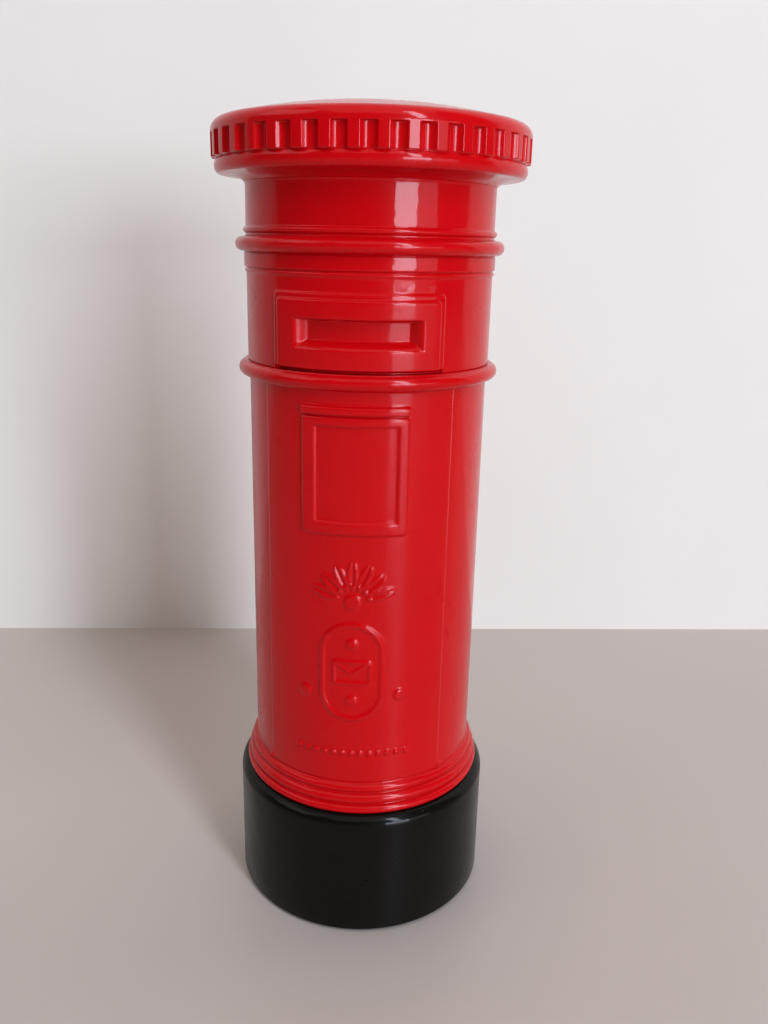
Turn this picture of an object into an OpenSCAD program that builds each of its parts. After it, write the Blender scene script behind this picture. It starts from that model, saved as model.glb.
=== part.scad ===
// Pillar-shaped money box: four castings clamped on one tie rod, emptied by a locking trap.
// Frame: +Z up, the front faces -Y, the origin is the middle of the underside. Millimetres.

/* [Castings] */
// Outside radius of the plain body tube
body_r = 23.4; // [21:0.1:29]
// Height of the black base, from the table to the foot of the body
base_h = 27.5; // [24:0.5:34]
// Height of the body casting, from the base to the top of the collar
body_h = 88.1; // [74:0.1:106]
// Height of the head casting, from the collar to the underside of the roof
head_h = 32.4; // [31:0.1:40]
// Height of the roof casting, from the neck to the crown
cap_h = 14.0; // [13:0.1:17]
// Wall thickness of every casting
wall = 3.0; // [2.5:0.1:3.6]
// How far the base stands out past the body
base_step = 3.6; // [3:0.1:4.4]
// How far the head stands out past the body
head_step = 0.3; // [0.2:0.1:0.6]
// How far the roof overhangs the head
cap_over = 6.0; // [5:0.1:7.2]
// Radius of the rounded shoulder on top of the base
shoulder_r = 1.8; // [1:0.1:2.2]
// Radius of the small round at the foot of the base
foot_round = 0.6; // [0.3:0.1:1]

/* [Mouldings] */
// How far the collar stands out past the body
collar_out = 2.1; // [1.7:0.1:2.6]
// Radius of the collar's round
collar_bead = 1.3; // [1:0.1:1.6]
// How far the upper ring stands out past the head
ring_out = 2.0; // [1.6:0.1:2.4]
// Radius of the upper ring's round
ring_bead = 1.35; // [1.1:0.05:1.6]
// Height of the upper ring's middle above the collar
ring_up = 21.5; // [20:0.1:24]
// How far the widest foot moulding stands out past the body
foot_out = 2.2; // [1.8:0.1:2.6]

/* [Roof] */
// Number of blocks round the edge of the roof
dentil_count = 39; // [30:1:46]
// Share of each step round the edge that is gap
dentil_gap = 0.6; // [0.4:0.05:0.7]
// Depth of the gaps between the blocks
dentil_deep = 0.9; // [0.6:0.1:1.2]
// Height of the row of blocks
dentil_h = 4.1; // [3.4:0.1:4.6]
// Height of the row of blocks above the roof's underside
dentil_up = 4.0; // [3.6:0.1:4.4]
// Rise of the dome above its rim
dome_rise = 3.4; // [2.6:0.1:4]
// Radius of the roof's rounded rim
rim_round = 2.2; // [1.8:0.1:2.4]

/* [Posting plate] */
// Half angle of the raised plate about the front
plate_half = 39.5; // [34:0.5:44]
// Height of the plate
plate_h = 13.3; // [11:0.1:14]
// How far the plate stands out from the head
plate_out = 0.8; // [0.5:0.1:1.1]
// Half angle of the blind posting recess
recess_half = 27; // [22:0.5:31]
// Height of the recess
recess_h = 4.8; // [4:0.1:5.6]
// Height of the recess's sill above the collar
recess_up = 4.5; // [4:0.1:5.5]
// Depth of the recess below the plate's face
recess_deep = 2.1; // [1.5:0.1:2.3]

/* [Coin slot] */
// Width of the coin slot through the back of the head
slot_w = 33; // [30:0.5:36]
// Height of the coin slot
slot_h = 5.0; // [4.6:0.1:6]
// Height of the slot's middle above the collar
slot_up = 7.1; // [6:0.1:9]

/* [Door and notice frame] */
// Half angle of the door panel about the front
door_half = 47; // [40:0.5:54]
// How far the door panel stands out from the body
door_out = 0.25; // [0.2:0.05:0.4]
// Half angle of the notice frame
frame_half = 24.3; // [20:0.1:29]
// Height of the notice frame
frame_h = 22.1; // [18:0.1:26]
// Height of the frame's foot above the base
frame_up = 58.4; // [52:0.1:60]
// How far the notice frame stands out from the body
frame_out = 0.75; // [0.5:0.05:1]
// Width of the frame's border
frame_border = 2.6; // [2:0.1:3.2]
// Depth of the notice panel below the body's surface
panel_deep = 0.4; // [0.2:0.1:0.8]
// Height of the ornament's middle above the base
ornament_up = 30.6; // [28:0.1:34]
// How far the ornament stands out from the body
ornament_out = 0.65; // [0.4:0.05:0.9]

/* [Tie rod] */
// Radius of the tie rod
rod_r = 2.0; // [1.5:0.1:2.5]
// Width of the tie bar across the base
bar_w = 9; // [8:0.5:11]
// Thickness of the tie bar
bar_t = 2.5; // [2:0.1:3.5]
// Distance across the flats of the rod's nut
nut_af = 7; // [6:0.5:8]
// Height of the rod's nut
nut_h = 3.2; // [2.4:0.1:4]
// Radius of the rod's washer
washer_r = 4.5; // [4.3:0.1:6]
// Thickness of the rod's washer
washer_t = 1.0; // [0.8:0.1:1.6]

/* [Bottom plate and trap] */
// Thickness of the felt ring glued under the base
felt_t = 0.5; // [0.4:0.1:0.8]
// Height of the bottom plate's lower face
plate_z = 3.7; // [3.6:0.1:4.2]
// Thickness of the bottom plate
plate_t = 1.6; // [1.4:0.1:2]
// Thickness of the trap
trap_t = 1.5; // [1.3:0.1:1.6]
// How far the trap overlaps the bottom plate's hole
trap_lap = 1.5; // [1.2:0.1:2]
// Radius of the hinge knuckles
knuckle_r = 1.35; // [1.25:0.05:1.5]
// Radius of the hinge pin
pin_r = 0.7; // [0.6:0.05:0.8]
// Length of the trap's own knuckle
knuckle_len = 7; // [6:0.5:9]
// Length of each knuckle on the bottom plate
ear_len = 3.2; // [2.6:0.1:4]
// Radius of the screws that hold the bottom plate
screw_r = 1.0; // [0.9:0.05:1.2]
// Radius of those screws' heads
screw_head_r = 2.3; // [2:0.1:2.5]
// Height of those screws' heads
screw_head_h = 1.4; // [1:0.1:1.6]
// Length of those screws under the head
screw_len = 6.6; // [5:0.1:7]

/* [Lock] */
// Distance from the edge of the trap's hole to the lock's axis
lock_inset = 10; // [9.5:0.1:11]
// Radius of the lock's threaded sleeve
sleeve_r = 5.5; // [5.2:0.1:6]
// Height of the sleeve above the trap's outer face
sleeve_h = 8.2; // [7.8:0.1:9]
// Radius of the turning plug
plug_r = 4.0; // [3.7:0.1:4.2]
// Distance across the flats of the lock's nut
lock_nut_af = 13; // [12:0.5:13.5]
// Height of the lock's nut
lock_nut_h = 2.5; // [2:0.1:3]
// Thickness of the cam
cam_t = 1.6; // [1.2:0.1:2]
// Width of the cam's arm
cam_w = 5; // [4:0.1:6]

/* [Clearances] */
// Radial gap where one casting locates in another
fit_gap = 0.3; // [0.2:0.05:0.4]
// Radial running clearance of a pin or a plug
run_gap = 0.05; // [0.03:0.01:0.1]
// Gap between moving plates
plate_gap = 0.35; // [0.3:0.05:0.5]

/* [Hidden] */
$fn = 96;
eps = 0.01;

red = [0.72, 0.03, 0.05];
black = [0.06, 0.06, 0.06];
steel = [0.66, 0.67, 0.69];
brass = [0.78, 0.62, 0.32];
felt_green = [0.05, 0.16, 0.09];

// Levels of the stack
body_z = base_h;
head_z = body_z + body_h;
cap_z = head_z + head_h;
crown_z = cap_z + cap_h;

// Radii that follow from the body
base_r = body_r + base_step;
head_r = body_r + head_step;
cap_r = head_r + cap_over;
bore_r = body_r - wall;
spigot_wall = 2.5;
spigot_h = 3;
spigot_r = bore_r - fit_gap;
way_r = spigot_r - spigot_wall;
cavity_r = base_r - wall;

// Tie rod and its fittings, counted down from the underside of the base's deck
deck_z = base_h - wall;
bar_z = deck_z - bar_t;
washer_z = bar_z - washer_t;
nut_z = washer_z - nut_h;
rod_end = 1;
rod_bearing = 4.4;
rod_boss_r = 5;
rod_boss_h = 8;
rod_hole_gap = 0.2;
rod_cover = 5;
rod_top = crown_z - rod_cover;

// Bottom plate, its screws and the trap
plate_edge_r = cavity_r - fit_gap;
boss_r = 3;
boss_h = 9;
screw_at_r = cavity_r - boss_r;
screw_side_gap = 0.7;
trap_r = screw_at_r - screw_head_r - screw_side_gap;
hole_r = trap_r - trap_lap;
trap_z = plate_z - plate_gap - trap_t;
pin_z = trap_z + trap_t / 2;
knuckle_gap = 0.25;
pin_y = trap_r + knuckle_r + knuckle_gap;
pin_head_r = 1.1;
pin_head_t = 0.6;

// Lock, counted up from the trap
lock_y = lock_inset - hole_r;
flange_t = 0.8;
flange_lap = 1.5;
flange_r = sleeve_r + flange_lap;
face_step = 0.65;
face_r = plug_r - face_step;
face_sunk = 0.2;
sleeve_top = trap_z + sleeve_h;
cam_z = sleeve_top + plate_gap;
cam_top = cam_z + cam_t;
cam_reach = lock_inset + trap_lap;
cam_leg_t = 1.5;
cam_leg_gap = 0.4;
tail_w = 3.6;
cam_screw_r = 1.2;
cam_screw_head_r = 2.4;
cam_screw_head_h = 1.4;
cam_screw_len = 6;

// Ornament on the door: heights are from its middle, across is from the front
fan_leaves = 7;
fan_spread = 24;
fan_len = 8.6;
fan_leaf_w = 2.2;
fan_root_r = 2.4;
fan_hub_r = 1.6;
fan_up = 14.6;
medal_w = 12.6;
medal_h = 21;
medal_line = 1.1;
letter_w = 7.6;
letter_h = 5.2;
letter_line = 0.7;
medal_dot_up = 6;
medal_dot_r = 1.2;
side_dot_x = 9.2;
side_dot_up = -5;
bead_row_count = 13;
bead_row_half = 10.6;
bead_row_up = -17.7;
bead_row_r = 0.65;

// A plain ring between two radii and two levels
module ring(r_out, r_in, z0, z1) {
    difference() {
        translate([0, 0, z0]) cylinder(r = r_out, h = z1 - z0);
        translate([0, 0, z0 - 1]) cylinder(r = r_in, h = z1 - z0 + 2);
    }
}

// A piece of ring that spans half an angle each side of the front
module front_arc(r_out, r_in, z0, z1, half) {
    rotate([0, 0, -90 - half])
        rotate_extrude(angle = 2 * half)
            translate([r_in, z0]) square([r_out - r_in, z1 - z0]);
}

// A half-round moulding whose crest is at radius r and level z
module bead(r, z, b) {
    rotate_extrude() translate([r - b, z]) circle(b);
}

// A screw with a round head; its thread points up from the head's seat at z
module screw(z, r, head_r, head_h, len) {
    translate([0, 0, z - head_h]) cylinder(r = head_r, h = head_h);
    translate([0, 0, z - eps]) cylinder(r = r, h = len);
}

// A slender leaf, pointed at both ends, standing on the origin
module leaf(len, w) {
    bow = (len * len + w * w) / (4 * w);
    translate([0, len / 2]) intersection() {
        translate([bow - w / 2, 0]) circle(bow);
        translate([w / 2 - bow, 0]) circle(bow);
    }
}

// An upright outline with round ends
module stadium(w, h) {
    square([w, h - w], center = true);
    for (s = [-1, 1]) translate([0, s * (h - w) / 2]) circle(w / 2);
}

// Raises a flat outline, seen from the front, out of the body's curved surface
module relief() {
    intersection() {
        translate([0, 0, body_z + ornament_up]) rotate([90, 0, 0])
            linear_extrude(body_r + 2) children();
        ring(body_r + ornament_out, bore_r + 1, body_z + 5, head_z - 5);
    }
}

// The ornament on the door, seen from the front: a fan, a medallion and a row of beads
module ornament() {
    for (i = [0 : fan_leaves - 1])
        relief() translate([0, fan_up]) rotate((i - (fan_leaves - 1) / 2) * fan_spread)
            translate([0, fan_root_r]) leaf(fan_len - fan_root_r, fan_leaf_w);
    relief() translate([0, fan_up]) circle(fan_hub_r);
    relief() difference() {
        stadium(medal_w, medal_h);
        stadium(medal_w - 2 * medal_line, medal_h - 2 * medal_line);
    }
    relief() difference() {
        square([letter_w, letter_h], center = true);
        square([letter_w - 2 * letter_line, letter_h - 2 * letter_line], center = true);
    }
    for (s = [-1, 1]) {
        relief() translate([0, s * medal_dot_up]) circle(medal_dot_r);
        relief() translate([s * side_dot_x, side_dot_up]) circle(medal_dot_r);
    }
    for (i = [0 : bead_row_count - 1])
        relief() translate([(2 * i / (bead_row_count - 1) - 1) * bead_row_half, bead_row_up])
            circle(bead_row_r);
}

// Domed roof with a row of blocks round its edge, a locating ring and a boss for the tie rod
module roof_cap() {
    band_z = cap_z + dentil_up;
    rim_z = band_z + dentil_h;
    lip_b = 1.4;
    lip_sink = 0.05;
    cove_r = dentil_up - 2 * lip_b;
    cove_drop = 0.1;
    gap_sink = 0.2;
    crown_flat = 0.03;
    lip_r = cap_r - 0.5;
    edge_z = crown_z - dome_rise;
    rim_b = min(rim_round, edge_z - rim_z - 0.1);
    dome_r = (pow(cap_r - rim_b, 2) + pow(dome_rise, 2)) / (2 * dome_rise);
    step = 360 / dentil_count;
    gap_w = 2 * cap_r * sin(step * dentil_gap / 2);
    color(red) difference() {
        union() {
            rotate_extrude() union() {
                // dome and rounded rim
                intersection() {
                    translate([0, crown_z + crown_flat - dome_r]) circle(dome_r, $fn = 360);
                    translate([0, edge_z - rim_b]) square([cap_r - rim_b, dome_rise + rim_b]);
                }
                translate([cap_r - rim_b, edge_z - rim_b]) circle(rim_b);
                translate([0, rim_z - eps]) square([cap_r, edge_z - rim_b - rim_z + eps]);
                // band, lower lip, and a small cove where the underside meets the neck
                translate([0, band_z]) square([cap_r, dentil_h + eps]);
                translate([lip_r - lip_b, band_z - lip_b]) circle(lip_b + lip_sink);
                translate([0, band_z - 2 * lip_b]) square([lip_r - lip_b, 2 * lip_b]);
                difference() {
                    translate([0, cap_z]) square([head_r + cove_r, cove_r + eps]);
                    translate([head_r + cove_r, cap_z - cove_drop]) circle(cove_r);
                }
            }
            ring(spigot_r, way_r, cap_z - spigot_h, cap_z + eps);
        }
        // gaps between the blocks, with a block in the middle of the front
        for (i = [0 : dentil_count - 1])
            rotate([0, 0, -90 + (i + 0.5) * step])
                translate([cap_r - dentil_deep, -gap_w / 2, band_z - gap_sink])
                    cube([2, gap_w, dentil_h + gap_sink]);
        // hollow of the roof, round the boss
        difference() {
            translate([0, 0, cap_z - 1]) cylinder(r = way_r, h = edge_z - wall - cap_z + 1);
            translate([0, 0, edge_z - wall - rod_boss_h]) cylinder(r = rod_boss_r, h = rod_boss_h + 1);
        }
        translate([0, 0, cap_z - 2]) cylinder(r = rod_r + run_gap, h = rod_top + 0.5 - cap_z + 2);
    }
}

// Head: the neck, its rings, the posting plate in front and the coin slot behind
module head() {
    ring_z = head_z + ring_up;
    face_out = head_r + plate_out;
    outer_step = 0.35;
    inner_turn = 3;
    inner_drop = 0.7;
    outer_rise = 0.5;
    top_bead_out = 0.5;
    top_bead_up = 2.5;
    top_bead = 0.6;
    low_bead_out = 0.25;
    low_bead_down = 4.75;
    low_bead = 0.4;
    band_out = 0.4;
    band_down = 4.1;
    band_h = 2.6;
    seat_r = spigot_r + 2 * fit_gap;
    color(red) difference() {
        union() {
            ring(head_r, bore_r, head_z, cap_z);
            ring(spigot_r, way_r, head_z - spigot_h, head_z + eps);
            ring(seat_r, way_r, head_z, head_z + spigot_h / 2);
            difference() {
                union() {
                    bead(head_r + ring_out, ring_z, ring_bead);
                    bead(head_r + top_bead_out, ring_z + top_bead_up, top_bead);
                    bead(head_r + low_bead_out, ring_z - low_bead_down, low_bead);
                    translate([0, 0, ring_z - band_down]) cylinder(r = head_r + band_out, h = band_h);
                }
                translate([0, 0, head_z]) cylinder(r = bore_r + eps, h = head_h);
            }
            // posting plate, in two steps
            front_arc(head_r + outer_step, bore_r + 1, head_z + fit_gap,
                head_z + plate_h + outer_rise, plate_half);
            front_arc(face_out, bore_r + 1, head_z + fit_gap,
                head_z + plate_h - inner_drop, plate_half - inner_turn);
        }
        front_arc(face_out + 1, face_out - recess_deep, head_z + recess_up,
            head_z + recess_up + recess_h, recess_half);
        // coin slot with round ends
        for (s = [-1, 1])
            translate([s * (slot_w - slot_h) / 2, 0, head_z + slot_up])
                rotate([-90, 0, 0]) cylinder(r = slot_h / 2, h = head_r + 2);
        translate([-(slot_w - slot_h) / 2, 0, head_z + slot_up - slot_h / 2])
            cube([slot_w - slot_h, head_r + 2, slot_h]);
    }
}

// Body: the tube with its collar, door panel, notice frame, ornament and foot mouldings
module body() {
    frame_z = body_z + frame_up;
    top_z = head_z - collar_bead * 2;
    foot_top = 6.3;
    // three foot mouldings, each narrower than the one below
    foot_bead = [0.9, 1.15, 0.95];
    foot_rise = [0.9, 2.9, 5.0];
    foot_in = [0, 0.5, 1.2];
    ledge_h = 0.7;
    ledge_out = 0.9;
    collar_drop = 0.2;
    stud_r = 0.8;
    stud_up = 0.5;
    stud_turn = 0.8;
    border_half = frame_half - frame_border / body_r * 180 / PI;
    hood_gap = 0.3;
    hood_h = 1.6;
    hood_out = 0.35;
    color(red) difference() {
        union() {
            translate([0, 0, body_z]) cylinder(r = body_r, h = body_h);
            translate([0, 0, head_z - ledge_h]) cylinder(r = body_r + ledge_out, h = ledge_h);
            bead(body_r + collar_out, head_z - collar_bead - collar_drop, collar_bead);
            translate([0, 0, body_z])
                cylinder(r = body_r + foot_out - foot_bead[0], h = 2 * foot_bead[0]);
            for (i = [0 : 2])
                bead(body_r + foot_out - foot_in[i], body_z + foot_rise[i], foot_bead[i]);
            front_arc(body_r + door_out, bore_r + 1, body_z + foot_top, top_z, door_half);
            for (s = [-1, 1])
                rotate([0, 0, -90 + s * (door_half + stud_turn)])
                    translate([body_r - 1, 0, body_z + foot_top + stud_up])
                        rotate([0, 90, 0]) cylinder(r = stud_r, h = 1.5, $fn = 32);
            front_arc(body_r + frame_out, bore_r + 1, frame_z, frame_z + frame_h, frame_half);
            front_arc(body_r + frame_out + hood_out, bore_r + 1, frame_z + frame_h + hood_gap,
                frame_z + frame_h + hood_gap + hood_h, frame_half);
            ornament();
        }
        front_arc(body_r + frame_out + 1, body_r - panel_deep, frame_z + frame_border,
            frame_z + frame_h - frame_border * 0.75, border_half);
        translate([0, 0, body_z - 1]) cylinder(r = bore_r, h = body_h + 2);
    }
}

// Base: a deep black cup, open below, whose deck carries the body
module base() {
    color(black) difference() {
        union() {
            rotate_extrude() union() {
                translate([0, felt_t + foot_round])
                    square([base_r, base_h - felt_t - foot_round - shoulder_r]);
                translate([0, felt_t]) square([base_r - foot_round, 2 * foot_round]);
                translate([0, base_h - 2 * shoulder_r])
                    square([base_r - shoulder_r, 2 * shoulder_r]);
                translate([base_r - foot_round, felt_t + foot_round]) circle(foot_round);
                translate([base_r - shoulder_r, base_h - shoulder_r]) circle(shoulder_r);
            }
            translate([0, 0, base_h - eps]) cylinder(r = spigot_r, h = spigot_h);
        }
        difference() {
            cylinder(r = cavity_r, h = deck_z);
            for (a = [45 : 90 : 315])
                rotate([0, 0, a]) translate([screw_at_r + eps, 0, plate_z + plate_t])
                    cylinder(r = boss_r, h = boss_h);
        }
        for (a = [45 : 90 : 315])
            rotate([0, 0, a]) translate([screw_at_r, 0, plate_z])
                cylinder(r = screw_r + run_gap, h = plate_t + screw_len, $fn = 32);
        cylinder(r = way_r, h = base_h + spigot_h + 1);
    }
}

// Long rod that pulls the roof down and the base up
module tie_rod() {
    color(steel) translate([0, 0, nut_z - rod_end]) cylinder(r = rod_r, h = rod_top - nut_z + rod_end);
}

// Strap across the underside of the base's deck
module tie_bar() {
    half = way_r + rod_bearing;
    color(steel) difference() {
        intersection() {
            translate([-half, -bar_w / 2, bar_z]) cube([2 * half, bar_w, bar_t]);
            translate([0, 0, bar_z]) cylinder(r = half, h = bar_t);
        }
        translate([0, 0, bar_z - 1]) cylinder(r = rod_r + rod_hole_gap, h = bar_t + 2);
    }
}

module tie_washer() {
    color(steel) ring(washer_r, rod_r + rod_hole_gap, washer_z, washer_z + washer_t);
}

// Hexagon nut with the distance across its flats, a bore, and a level
module hex_nut(af, bore, z, h) {
    difference() {
        translate([0, 0, z]) cylinder(r = af / 2 / cos(30), h = h, $fn = 6);
        translate([0, 0, z - 1]) cylinder(r = bore, h = h + 2, $fn = 48);
    }
}

module tie_nut() {
    color(steel) hex_nut(nut_af, rod_r + run_gap, nut_z, nut_h);
}

// Steel plate with the emptying hole and the two fixed knuckles of the hinge
module bottom_plate() {
    ear_x = knuckle_len / 2 + plate_gap;
    ear_t = 1.5 * knuckle_r;
    color(steel) difference() {
        union() {
            translate([0, 0, plate_z]) cylinder(r = plate_edge_r, h = plate_t);
            for (s = [-1, 1]) {
                translate([s * (ear_x + ear_len / 2), pin_y, pin_z]) rotate([0, 90, 0])
                    cylinder(r = knuckle_r, h = ear_len, center = true);
                translate([s * (ear_x + ear_len / 2), pin_y, (pin_z + plate_z + plate_t) / 2])
                    cube([ear_len, ear_t, plate_z + plate_t - pin_z], center = true);
            }
        }
        translate([0, 0, plate_z - 1]) cylinder(r = hole_r, h = plate_t + 2);
        // notch that clears the trap's knuckle
        translate([-ear_x, hole_r - 1, plate_z - 1])
            cube([2 * ear_x, pin_y + knuckle_r + 2 * plate_gap - hole_r + 1, plate_t + 2]);
        translate([0, pin_y, pin_z]) rotate([0, 90, 0])
            cylinder(r = pin_r + run_gap, h = 3 * knuckle_len, center = true, $fn = 32);
        for (a = [45 : 90 : 315])
            rotate([0, 0, a]) translate([screw_at_r, 0, plate_z - 1])
                cylinder(r = screw_r + fit_gap, h = plate_t + 2, $fn = 32);
    }
}

// Four screws from the bottom plate into the base
module plate_screws() {
    cross_len = 2.6;
    cross_w = 0.6;
    cross_deep = 0.7;
    color(steel) for (a = [45 : 90 : 315])
        rotate([0, 0, a]) translate([screw_at_r, 0, 0]) difference() {
            screw(plate_z, screw_r, screw_head_r, screw_head_h, screw_len);
            for (t = [0, 90])
                rotate([0, 0, t]) translate([0, 0, plate_z - screw_head_h])
                    cube([cross_len, cross_w, 2 * cross_deep], center = true);
        }
}

module felt_ring() {
    felt_in = 0.3;
    color(felt_green) ring(base_r - foot_round - felt_in, cavity_r + felt_in, 0, felt_t);
}

module hinge_pin() {
    half = knuckle_len / 2 + plate_gap + ear_len;
    color(steel) translate([0, pin_y, pin_z]) rotate([0, 90, 0]) {
        translate([0, 0, -half]) cylinder(r = pin_r, h = 2 * half + eps);
        translate([0, 0, half]) cylinder(r = pin_head_r, h = pin_head_t);
    }
}

// Round trap that closes the hole from below and swings down on its knuckle
module trap_door() {
    color(steel) difference() {
        union() {
            translate([0, 0, trap_z]) cylinder(r = trap_r, h = trap_t);
            translate([-knuckle_len / 2, trap_r - 2, trap_z])
                cube([knuckle_len, pin_y - trap_r + 2, trap_t]);
            translate([0, pin_y, pin_z]) rotate([0, 90, 0])
                cylinder(r = knuckle_r, h = knuckle_len, center = true);
        }
        translate([0, pin_y, pin_z]) rotate([0, 90, 0])
            cylinder(r = pin_r + run_gap, h = 2 * knuckle_len, center = true, $fn = 32);
        translate([0, lock_y, trap_z - 1]) cylinder(r = sleeve_r + run_gap, h = trap_t + 2);
    }
}

// Threaded sleeve of the lock; its flange bears on the outside of the trap
module lock_sleeve() {
    color(brass) translate([0, lock_y, 0]) difference() {
        union() {
            translate([0, 0, trap_z - flange_t]) cylinder(r = flange_r, h = flange_t);
            translate([0, 0, trap_z - eps]) cylinder(r = sleeve_r, h = sleeve_h);
        }
        translate([0, 0, trap_z]) cylinder(r = plug_r + run_gap, h = sleeve_h + 1);
        translate([0, 0, trap_z - flange_t - 1]) cylinder(r = face_r + run_gap, h = flange_t + 2);
    }
}

module lock_nut() {
    color(brass) translate([0, lock_y, 0])
        hex_nut(lock_nut_af, sleeve_r + run_gap, trap_z + trap_t, lock_nut_h);
}

// Turning plug with its keyway below and a square tail above
module lock_plug() {
    face_z = trap_z - flange_t + face_sunk;
    key_w = 1.1;
    key_h = 4.8;
    key_deep = 4;
    color(brass) translate([0, lock_y, 0]) difference() {
        union() {
            translate([0, 0, face_z]) cylinder(r = face_r, h = 2);
            translate([0, 0, trap_z + run_gap]) cylinder(r = plug_r, h = sleeve_h - run_gap);
            translate([-tail_w / 2, -tail_w / 2, sleeve_top - 1])
                cube([tail_w, tail_w, cam_top - sleeve_top + 1]);
        }
        translate([0, 0, face_z + key_deep / 2 - eps]) cube([key_w, key_h, key_deep], center = true);
        translate([0, 0, cam_top - cam_screw_len - 0.4])
            cylinder(r = cam_screw_r + run_gap, h = cam_screw_len + 1, $fn = 32);
    }
}

// Cranked cam; its foot drops to just above the bottom plate
module lock_cam() {
    foot_z = plate_z + plate_t + cam_leg_gap;
    hub_r = plug_r + 0.6;
    color(steel) translate([0, lock_y, 0]) difference() {
        union() {
            translate([0, 0, cam_z]) cylinder(r = hub_r, h = cam_t);
            translate([0, -cam_w / 2, cam_z]) cube([cam_reach, cam_w, cam_t]);
            translate([cam_reach - cam_leg_t, -cam_w / 2, foot_z])
                cube([cam_leg_t, cam_w, cam_top - foot_z]);
        }
        translate([0, 0, cam_z + cam_t / 2])
            cube([tail_w + 2 * run_gap, tail_w + 2 * run_gap, cam_t + 1], center = true);
    }
}

module cam_screw() {
    slit_w = 0.6;
    slit_deep = 0.6;
    color(steel) translate([0, lock_y, 0]) difference() {
        union() {
            translate([0, 0, cam_top]) cylinder(r = cam_screw_head_r, h = cam_screw_head_h);
            translate([0, 0, cam_top - cam_screw_len])
                cylinder(r = cam_screw_r, h = cam_screw_len + eps, $fn = 32);
        }
        translate([0, 0, cam_top + cam_screw_head_h])
            cube([3 * cam_screw_head_r, slit_w, 2 * slit_deep], center = true);
    }
}

roof_cap();
head();
body();
base();
tie_rod();
tie_bar();
tie_washer();
tie_nut();
bottom_plate();
plate_screws();
felt_ring();
hinge_pin();
trap_door();
lock_sleeve();
lock_nut();
lock_plug();
lock_cam();
cam_screw();
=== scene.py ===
import math

import bpy
import numpy as np
from mathutils import Matrix, Vector


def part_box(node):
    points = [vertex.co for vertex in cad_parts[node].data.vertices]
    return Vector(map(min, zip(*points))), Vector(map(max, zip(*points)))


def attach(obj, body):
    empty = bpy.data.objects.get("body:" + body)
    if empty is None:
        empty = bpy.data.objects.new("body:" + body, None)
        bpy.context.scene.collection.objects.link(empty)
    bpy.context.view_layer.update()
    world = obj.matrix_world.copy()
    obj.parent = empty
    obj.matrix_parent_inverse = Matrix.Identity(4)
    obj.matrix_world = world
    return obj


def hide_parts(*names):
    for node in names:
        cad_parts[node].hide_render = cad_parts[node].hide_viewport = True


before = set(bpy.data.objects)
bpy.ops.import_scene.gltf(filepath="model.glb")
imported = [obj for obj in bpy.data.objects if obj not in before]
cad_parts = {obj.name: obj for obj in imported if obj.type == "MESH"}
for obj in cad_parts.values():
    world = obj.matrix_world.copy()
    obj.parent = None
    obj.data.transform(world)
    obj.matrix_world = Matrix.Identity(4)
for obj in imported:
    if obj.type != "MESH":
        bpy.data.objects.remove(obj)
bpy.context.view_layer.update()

# ---------------------------------------------------------------------------------------------
# Camera. It is held close, a little below the roof's rim, looking down on the foot of the box
# from just right of its front, with the horizon tipped by about a degree.
# ---------------------------------------------------------------------------------------------
CAMERA_AWAY = 0.1790          # from the box's axis
CAMERA_HIGH = 0.1380          # above the table
CAMERA_ROUND = math.radians(5.5)
LOOK_DOWN = math.radians(16.92)
LOOK_RIGHT = math.radians(1.22)
TIP = math.radians(-1.29)

camera = bpy.data.objects.new("camera", bpy.data.cameras.new("camera"))
bpy.context.scene.collection.objects.link(camera)
camera.data.lens = 31.28
camera.data.sensor_width = 36.0
camera.data.clip_start = 0.005
heading = CAMERA_ROUND - LOOK_RIGHT
ahead = Vector((-math.sin(heading) * math.cos(LOOK_DOWN), math.cos(heading) * math.cos(LOOK_DOWN),
                -math.sin(LOOK_DOWN)))
level = Vector((math.cos(heading), math.sin(heading), 0.0))
below = ahead.cross(level)
side = level * math.cos(TIP) + below * math.sin(TIP)
up = level * math.sin(TIP) - below * math.cos(TIP)
place = Matrix((side, up, -ahead)).transposed().to_4x4()
place.translation = (CAMERA_AWAY * math.sin(CAMERA_ROUND), -CAMERA_AWAY * math.cos(CAMERA_ROUND),
                     CAMERA_HIGH)
camera.matrix_world = place
bpy.context.scene.camera = camera
bpy.context.scene.view_settings.view_transform = "Standard"


# ---------------------------------------------------------------------------------------------
# Foot of the box: a deep cup of die-cast zinc in gloss black, open below. Its rounded shoulder
# carries the red body, and four bosses inside take the screws of the bottom plate.
# ---------------------------------------------------------------------------------------------
def reach(node):
    """Outside radius, lowest level and highest level of a round CAD node, in millimetres."""
    low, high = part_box(node)
    return round(high[0] * 1000, 2), round(low[2] * 1000, 2), round(high[2] * 1000, 2)


def arc(r, z, radius, first, last, count):
    """Points of a circle about (r, z): each is the centre plus radius times (cos a, sin a)."""
    a = np.radians(np.linspace(first, last, count))
    return np.stack([r + radius * np.cos(a), z + radius * np.sin(a)], -1)


def upright(r, *levels):
    """Profile points at one radius. Levels between the first and the last keep faces short."""
    return [[r, z] for z in levels]


def wrapped(wall, angles, levels):
    """A wall carried round the axis: a point at angle a, level z and radius r goes to
    (r sin a, -r cos a, z), so angle 0 is the front. The wall's radii have a row a level."""
    return np.stack([wall * np.sin(angles), -wall * np.cos(angles), levels[:, None] + 0 * wall], -1)


def turned(profile, angles):
    """The same for a profile, whose points (r, z) keep their radius all the way round."""
    return wrapped(profile[:, :1] + 0 * angles, angles, profile[:, 1])


def round_the_axis(columns):
    """Angles once round, evenly spaced, without the last one."""
    return np.linspace(0, 2 * math.pi, columns, endpoint=False)


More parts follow.
